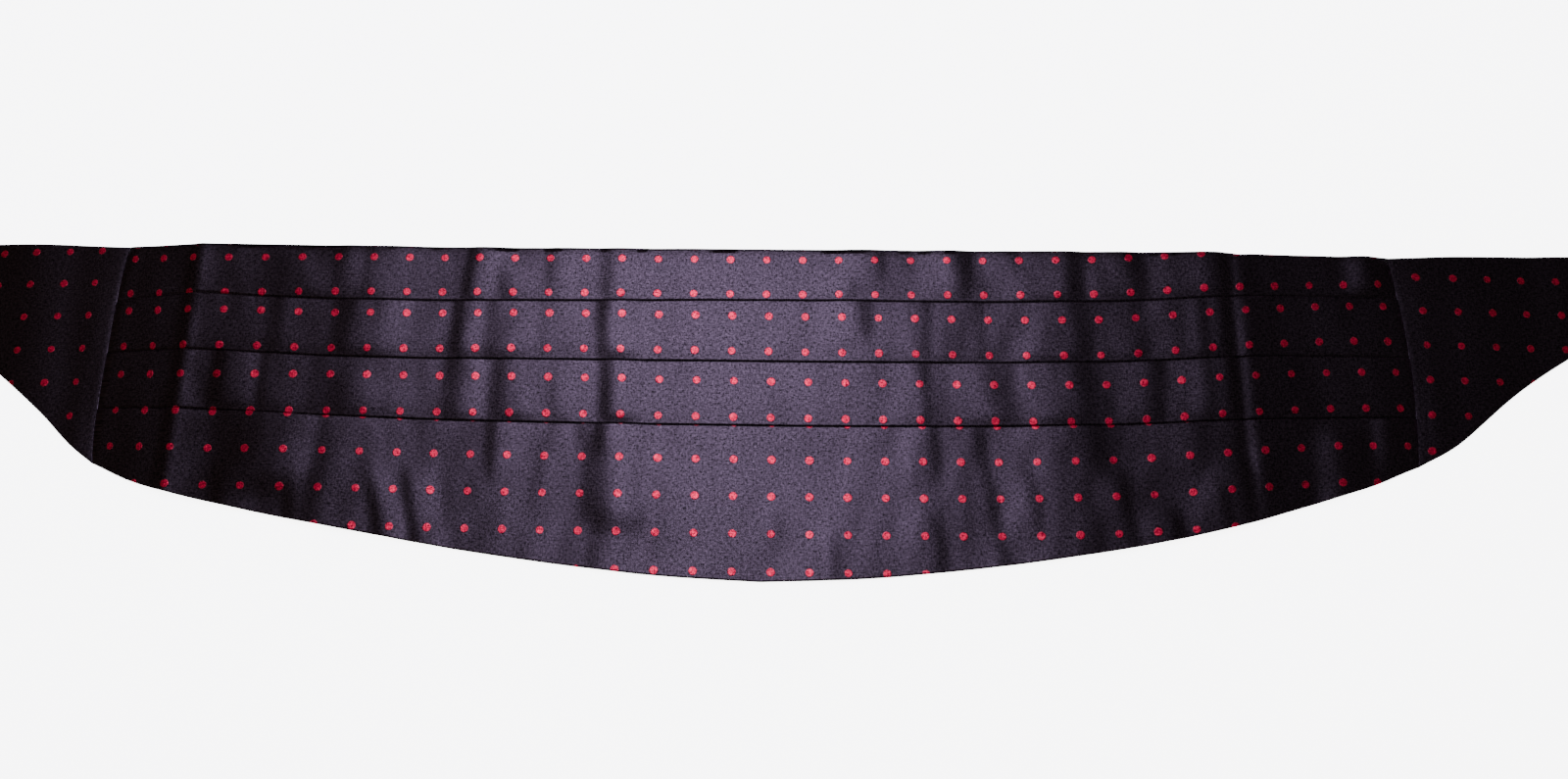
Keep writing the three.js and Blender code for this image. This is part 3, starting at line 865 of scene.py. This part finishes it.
def webbing_material(looks):
    """Plain dark woven strap."""
    graph, shader = new_material("ribbed_webbing")
    where = graph.node("ShaderNodeUVMap", uv_map="cloth").outputs[0]
    ribs = graph.group("ribbed_webbing", Vector=where, Ribs=0.9)
    graph.feed(shader["Base Color"], graph.toned(looks.webbing, ribs["Tone"]))
    graph.feed(shader["Roughness"], 0.75)
    graph.feed(shader["Sheen Weight"], 0.15)
    graph.feed(shader["Normal"], graph.bump(ribs["Height"], 0.12, 0.7))


def thread_material(looks):
    """Twisted sewing thread."""
    graph, shader = new_material("sewing_thread")
    where = graph.node("ShaderNodeTexCoord").outputs["Object"]
    twist = graph.stretched_noise(where, 2500.0, 900.0, 2.0, 0.5)
    graph.feed(shader["Base Color"], graph.toned(looks.thread, graph.add(twist, 0.5)))
    graph.feed(shader["Roughness"], 0.55)
    graph.feed(shader["Normal"], graph.bump(twist, 0.05, 0.4))


def clasp_material(looks):
    """Satin nickel."""
    graph, shader = new_material("satin_nickel")
    where = graph.node("ShaderNodeTexCoord").outputs["Object"]
    brushed = graph.group("brushed_metal", Vector=where)
    wear = brushed["Wear"]
    graph.feed(shader["Base Color"], graph.mix(wear, rgba(looks.clasp), rgba(looks.clasp, 0.7)))
    graph.feed(shader["Roughness"], graph.blend(wear, 0.26, 0.40))
    graph.feed(shader["Metallic"], 1.0)
    graph.feed(shader["Normal"], graph.bump(brushed["Height"], 0.01, 0.3))


class CummerbundSizes(bpy.types.PropertyGroup):
    """Sizes of the cloth that a user would change."""

    cloth: bpy.props.FloatProperty(
        name="Cloth", description="Thickness of the satin, in millimetres",
        default=0.38, min=0.2, max=1.0)
    layer_gap: bpy.props.FloatProperty(
        name="Layer gap", description="Air between folded layers, in millimetres",
        default=0.08, min=0.05, max=0.5)
    fold_puff: bpy.props.FloatProperty(
        name="Fold puff", description="How far each fold stands proud, in millimetres",
        default=0.30, min=0.0, max=1.5)
    crease: bpy.props.FloatProperty(
        name="Creases", description="Strength of creases and ripples",
        default=1.2, min=0.0, max=1.5, subtype="FACTOR")
    strap: bpy.props.FloatProperty(
        name="Strap", description="Thickness of the straps, in millimetres",
        default=1.0, min=0.5, max=1.2)


class CummerbundLooks(bpy.types.PropertyGroup):
    """Colours and marks that a user would change."""

    satin: bpy.props.FloatVectorProperty(
        name="Satin", description="Colour of the satin", subtype="COLOR", size=3,
        default=(0.0172, 0.0120, 0.0155), min=0.0, max=1.0)
    dot: bpy.props.FloatVectorProperty(
        name="Dots", description="Colour of the woven dots", subtype="COLOR", size=3,
        default=(0.272, 0.0067, 0.0240), min=0.0, max=1.0)
    dot_radius: bpy.props.FloatProperty(
        name="Dot radius", description="Radius of a dot as a share of the dots' spacing",
        default=0.102, min=0.02, max=0.4, subtype="FACTOR")
    webbing: bpy.props.FloatVectorProperty(
        name="Straps", description="Colour of the straps", subtype="COLOR", size=3,
        default=(0.011, 0.010, 0.012), min=0.0, max=1.0)
    thread: bpy.props.FloatVectorProperty(
        name="Thread", description="Colour of the sewing thread", subtype="COLOR", size=3,
        default=(0.025, 0.019, 0.027), min=0.0, max=1.0)
    clasp: bpy.props.FloatVectorProperty(
        name="Clasp", description="Colour of the clasp's metal", subtype="COLOR", size=3,
        default=(0.480, 0.472, 0.464), min=0.0, max=1.0)


class CUMMERBUND_OT_finishes(bpy.types.Operator):
    """Makes the satin, webbing, thread and metal"""

    bl_idname = "cummerbund.finishes"
    bl_label = "Finishes"

    def execute(self, context):
        looks = context.scene.cummerbund_looks
        woven_dots_group()
        satin_twill_group()
        ribbed_webbing_group()
        brushed_metal_group()
        satin_material(looks)
        webbing_material(looks)
        thread_material(looks)
        clasp_material(looks)
        return {"FINISHED"}


class CUMMERBUND_OT_front_panel(bpy.types.Operator):
    """Makes the pleated front panel"""

    bl_idname = "cummerbund.front_panel"
    bl_label = "Front panel"

    def execute(self, context):
        sizes = context.scene.cummerbund_sizes
        columns = []
        for x in panel_stations():
            sunk = SEAM_SINK * (1 - smooth(0.0, 2.2, HALF - abs(x)))
            near_seam = smooth(0.9 * HALF, HALF, abs(x))
            column = []
            for point in panel_section(x, sizes.cloth, sizes.layer_gap, sizes.fold_puff):
                lift = shared_lift(x, point.y, sizes.crease)
                if point.share:
                    lift += point.share * band_lift(point.band, x, point.y, sizes.crease)
                z = point.z - sunk * smooth(0.5, 2.0, point.z) + lift
                bowed = x + near_seam * seam_bow(math.copysign(1, x), point.y)
                turned = curve(COLUMNS, "column", (bowed + point.shift) / HALF)
                where = place(bowed, point.y, max(sizes.cloth / 2, z))
                column.append((where, (turned, point.row)))
            columns.append(column)
        satin = bpy.data.materials["satin_with_dots"]
        cloth = grid_mesh("front_panel_cloth", columns, sizes.cloth, satin)
        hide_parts("front_panel")
        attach(cloth, "root")
        return {"FINISHED"}


class CUMMERBUND_OT_wings(bpy.types.Operator):
    """Makes the two tapered wings"""

    bl_idname = "cummerbund.wings"
    bl_label = "Wings"

    def execute(self, context):
        sizes = context.scene.cummerbund_sizes
        satin = bpy.data.materials["satin_with_dots"]
        distances = [0.0, 0.015, 0.04, 0.4, 0.8, 1.3, 2.0, 3.0]
        distances += [lerp(3.0, WING_LENGTH - 0.3, k / 62) for k in range(1, 63)]
        for side, name in ((-1, "wing_left"), (1, "wing_right")):
            dots = WING_DOTS[side]
            columns = []
            for distance in distances:
                x = side * (HALF + SEAM_GAP + distance)
                column = []
                near_seam = 1 - smooth(0.0, 22.0, distance)
                for point in wing_section(side, distance, sizes.cloth, sizes.layer_gap,
                                          sizes.strap):
                    z = point.z + wing_lift(side, distance, point.y)
                    leant = x + dots["lean"] * max(0.0, -point.y - 22.0)
                    turned = (leant - dots["column_at"]) / dots["column"]
                    bowed = x + near_seam * seam_bow(side, point.y)
                    column.append((place(bowed, point.y, z), (turned, point.row)))
                columns.append(column)
            if side < 0:
                columns.reverse()
            cloth = grid_mesh(name + "_cloth", columns, sizes.cloth, satin)
            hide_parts(name)
            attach(cloth, "root")
        return {"FINISHED"}


def strap_line(thickness):
    """Middle line of a strap as (distance from the panel's middle, z)."""
    low = thickness / 2
    middle = low + thickness + STRAP_GAP
    high = BAR_LOW + BAR_THICKNESS + STRAP_GAP + thickness / 2
    back = BAR_AT - STRAP_RETURN
    flat = WING_END + 6
    over, up = back - 5, BAR_AT - 9
    line = [(WING_END - STRAP_HELD, low), (flat, low)]
    line += [(lerp(flat, over, k / 5), low) for k in range(1, 6)]
    for k in range(1, 7):
        line.append((lerp(over, back + 0.5, k / 6), lerp(low, middle, smooth(0, 1, k / 6))))
    line.append((up, middle))
    for k in range(1, 8):
        line.append((lerp(up, BAR_AT, k / 7), lerp(middle, high, smooth(0, 1, k / 7))))
    radius = (high - low) / 2
    for k in range(11):
        angle = math.pi * k / 10
        out, height = radius * math.sin(angle), radius * (1 + math.cos(angle))
        line.append((BAR_AT + BAR_REACH + out, low + height))
    line += [(lerp(BAR_AT, back, k / 6), low) for k in range(7)]
    return line


def strap_middle(side):
    """Middle of a strap, below the upper edge."""
    return upper_edge(side * WING_END) - WING_TIP / 2


class CUMMERBUND_OT_straps(bpy.types.Operator):
    """Makes the two straps"""

    bl_idname = "cummerbund.straps"
    bl_label = "Straps"

    def execute(self, context):
        sizes = context.scene.cummerbund_sizes
        webbing = bpy.data.materials["ribbed_webbing"]
        for side, name in ((-1, "strap_left"), (1, "strap_right")):
            columns, run, before = [], 0.0, None
            for distance, z in strap_line(sizes.strap):
                if before:
                    run += math.hypot(distance - before[0], z - before[1])
                before = (distance, z)
                column = []
                for k in range(13):
                    across = (k / 12 - 0.5) * STRAP_WIDTH
                    edge = strap_middle(side) + across
                    column.append((place(side * distance, edge, z), (run, across)))
                columns.append(column)
            if side < 0:
                columns.reverse()
            band = grid_mesh(name + "_webbing", columns, sizes.strap - 0.04, webbing)
            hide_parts(name)
            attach(band, "root")
        return {"FINISHED"}


# Stitches in a row across a strap; length of one and radius of its thread, in millimetres
STITCHES = 8
STITCH_LENGTH = 1.9
THREAD_RADIUS = 0.17


def stitch(points, faces, centre, direction, length, radius):
    """One sunk thread between two needle holes."""
    across = Vector((-direction.y, direction.x, 0.0))
    start = len(points)
    rings = 7
    for r in range(rings):
        share = r / (rings - 1)
        swell = math.sin(math.pi * lerp(0.08, 0.92, share))
        middle = centre + direction * (share - 0.5) * length
        for k in range(6):
            angle = math.pi * k / 3
            offset = across * math.cos(angle) * radius * swell
            lift = Vector((0.0, 0.0, math.sin(angle) * radius * swell))
            points.append(middle + offset + lift + Vector((0, 0, radius * (swell - 0.6))))
    for r in range(rings - 1):
        for k in range(6):
            a = start + r * 6 + k
            b = start + r * 6 + (k + 1) % 6
            faces.append((a, b, b + 6, a + 6))
    faces.append([start + k for k in reversed(range(6))])
    faces.append([start + (rings - 1) * 6 + k for k in range(6)])


class CUMMERBUND_OT_stitches(bpy.types.Operator):
    """Sews the straps to the wings and to themselves"""

    bl_idname = "cummerbund.stitches"
    bl_label = "Stitches"

    def execute(self, context):
        sizes = context.scene.cummerbund_sizes
        thread = bpy.data.materials["sewing_thread"]
        wing_top = sizes.strap + sizes.layer_gap + sizes.cloth
        strap_top = 2 * sizes.strap + STRAP_GAP
        rows = [
            {"at": WING_END - 3.0, "z": wing_top},
            {"at": WING_END - 10.0, "z": wing_top},
            {"at": BAR_AT - 15.5, "z": strap_top},
            {"at": BAR_AT - 11.5, "z": strap_top},
        ]
        north = Vector((0, 1, 0))
        for side, name in ((-1, "stitches_left"), (1, "stitches_right")):
            points, faces = [], []
            for row in rows:
                for k in range(STITCHES):
                    across = ((k + 0.5) / STITCHES - 0.5) * (STRAP_WIDTH - 2.5)
                    centre = place(side * row["at"], strap_middle(side) + across, row["z"])
                    stitch(points, faces, Vector(centre), north,
                           STITCH_LENGTH * MM, THREAD_RADIUS * MM)
            mesh = bpy.data.meshes.new(name)
            mesh.from_pydata(points, [], faces)
            mesh.polygons.foreach_set("use_smooth", [True] * len(mesh.polygons))
            mesh.materials.append(thread)
            piece = bpy.data.objects.new(name, mesh)
            context.scene.collection.objects.link(piece)
            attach(piece, "root")
        return {"FINISHED"}


# Rounding of the clasp's edges, in millimetres
EDGE_ROUNDING = 0.18


class CUMMERBUND_OT_clasp(bpy.types.Operator):
    """Finishes the hook and the ring"""

    bl_idname = "cummerbund.clasp"
    bl_label = "Clasp"

    def execute(self, context):
        nickel = bpy.data.materials["satin_nickel"]
        for name in ("clasp_ring", "clasp_hook"):
            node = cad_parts[name]
            for slot in node.material_slots:
                slot.material = nickel
            rounded = node.modifiers.new("rounded edges", "BEVEL")
            rounded.width = EDGE_ROUNDING * MM
            rounded.segments = 2
            rounded.limit_method = "ANGLE"
        return {"FINISHED"}


# The floor, in metres, and how strongly it glows, so that it is near white
FLOOR_REACH = 4.0
FLOOR_DROP = 0.0002
FLOOR_GLOW = 6.5
# Light of the studio's pale wall, and of its dim ceiling at the left and the right
WALL = (3.0, 3.0, 3.0, 1.0)
CEILING_LEFT = (0.235, 0.180, 0.090, 1.0)
CEILING_RIGHT = (0.215, 0.205, 0.180, 1.0)
# The lamp and the camera: places in the cloth's millimetres, lamp size in metres
LAMP_AT = (-66.0, 250.0, 900.0)
LAMP_AIM = (0.0, -60.0, 0.0)
LAMP_SIZE = (0.40, 0.80)
LAMP_ENERGY = 15.0
LAMP_COLOUR = (0.736, 0.757, 1.0)
CAMERA_AT = (6.97, -198.3, 447.0)
CAMERA_TURN = (17.47, -0.29, 0.32)
SENSOR = 36.0
LENS = 28.125


def add_floor(scene):
    """Pale floor just under the cloth."""
    graph, shader = new_material("pale_floor")
    graph.feed(shader["Base Color"], (0.93, 0.93, 0.93, 1.0))
    graph.feed(shader["Roughness"], 0.9)
    graph.feed(shader["Specular IOR Level"], 0.2)
    graph.feed(shader["Emission Color"], (1.0, 1.0, 1.0, 1.0))
    graph.feed(shader["Emission Strength"], FLOOR_GLOW)
    corners = [(x * FLOOR_REACH, y * FLOOR_REACH, 0)
               for x, y in ((-1, -1), (1, -1), (1, 1), (-1, 1))]
    mesh = bpy.data.meshes.new("floor")
    mesh.from_pydata(corners, [], [(0, 1, 2, 3)])
    mesh.materials.append(bpy.data.materials["pale_floor"])
    floor = bpy.data.objects.new("floor", mesh)
    floor.location.z = -FLOOR_DROP
    scene.collection.objects.link(floor)


def add_studio(scene):
    """Pale wall near the horizon with a dim ceiling above it."""
    world = bpy.data.worlds.new("studio")
    world.use_nodes = True
    graph = Graph(world.node_tree)
    backdrop = next(n for n in world.node_tree.nodes if n.type == "BACKGROUND")
    towards = graph.split(graph.node("ShaderNodeTexCoord").outputs["Generated"])
    to_right = graph.ramp(towards[0], -0.4, 0.4)
    ceiling = graph.mix(to_right, CEILING_LEFT, CEILING_RIGHT)
    above_wall = graph.ramp(towards[2], 0.10, 0.20)
    graph.feed(backdrop.inputs[0], graph.mix(above_wall, WALL, ceiling))
    scene.world = world


def add_lamp(scene):
    """Soft lamp above, a little behind the upper edge."""
    key = bpy.data.lights.new("key", "AREA")
    key.shape = "ELLIPSE"
    key.size, key.size_y = LAMP_SIZE
    key.energy = LAMP_ENERGY
    key.color = LAMP_COLOUR
    lamp = bpy.data.objects.new("key", key)
    lamp.location = place(*LAMP_AT)
    aim = Vector(place(*LAMP_AIM)) - lamp.location
    lamp.rotation_euler = aim.to_track_quat("-Z", "Y").to_euler()
    scene.collection.objects.link(lamp)


def add_camera(scene):
    """Camera at the photograph's place and angle."""
    lens = bpy.data.cameras.new("camera")
    lens.sensor_width = SENSOR
    lens.lens = LENS
    lens.clip_start = 0.01
    lens.clip_end = 50.0
    camera = bpy.data.objects.new("camera", lens)
    camera.location = place(*CAMERA_AT)
    camera.rotation_euler = [math.radians(a) for a in CAMERA_TURN]
    scene.collection.objects.link(camera)
    scene.camera = camera


class CUMMERBUND_OT_stage(bpy.types.Operator):
    """Sets the floor, the light and the camera"""

    bl_idname = "cummerbund.stage"
    bl_label = "Stage"

    def execute(self, context):
        scene = context.scene
        add_floor(scene)
        add_studio(scene)
        add_lamp(scene)
        add_camera(scene)
        return {"FINISHED"}


class CUMMERBUND_PT_sidebar(bpy.types.Panel):
    """Lists the steps and the values"""

    bl_idname = "CUMMERBUND_PT_sidebar"
    bl_label = "Cummerbund"
    bl_space_type = "VIEW_3D"
    bl_region_type = "UI"
    bl_category = "Cummerbund"

    def draw(self, context):
        layout = self.layout
        for step in STEPS:
            layout.operator(step.bl_idname)
        for values in (context.scene.cummerbund_sizes, context.scene.cummerbund_looks):
            for key in values.__annotations__:
                layout.prop(values, key)


STEPS = (
    CUMMERBUND_OT_finishes,
    CUMMERBUND_OT_front_panel,
    CUMMERBUND_OT_wings,
    CUMMERBUND_OT_straps,
    CUMMERBUND_OT_stitches,
    CUMMERBUND_OT_clasp,
    CUMMERBUND_OT_stage,
)
CLASSES = (CummerbundSizes, CummerbundLooks, *STEPS, CUMMERBUND_PT_sidebar)


def register():
    for each in CLASSES:
        bpy.utils.register_class(each)
    bpy.types.Scene.cummerbund_sizes = bpy.props.PointerProperty(type=CummerbundSizes)
    bpy.types.Scene.cummerbund_looks = bpy.props.PointerProperty(type=CummerbundLooks)


def unregister():
    del bpy.types.Scene.cummerbund_looks
    del bpy.types.Scene.cummerbund_sizes
    for each in reversed(CLASSES):
        bpy.utils.unregister_class(each)


def main():
    register()
    for step in STEPS:
        prefix, name = step.bl_idname.split(".")
        if "FINISHED" not in getattr(getattr(bpy.ops, prefix), name)():
            raise RuntimeError(step.bl_idname + " didn't finish")


if __name__ == "__main__":
    main()
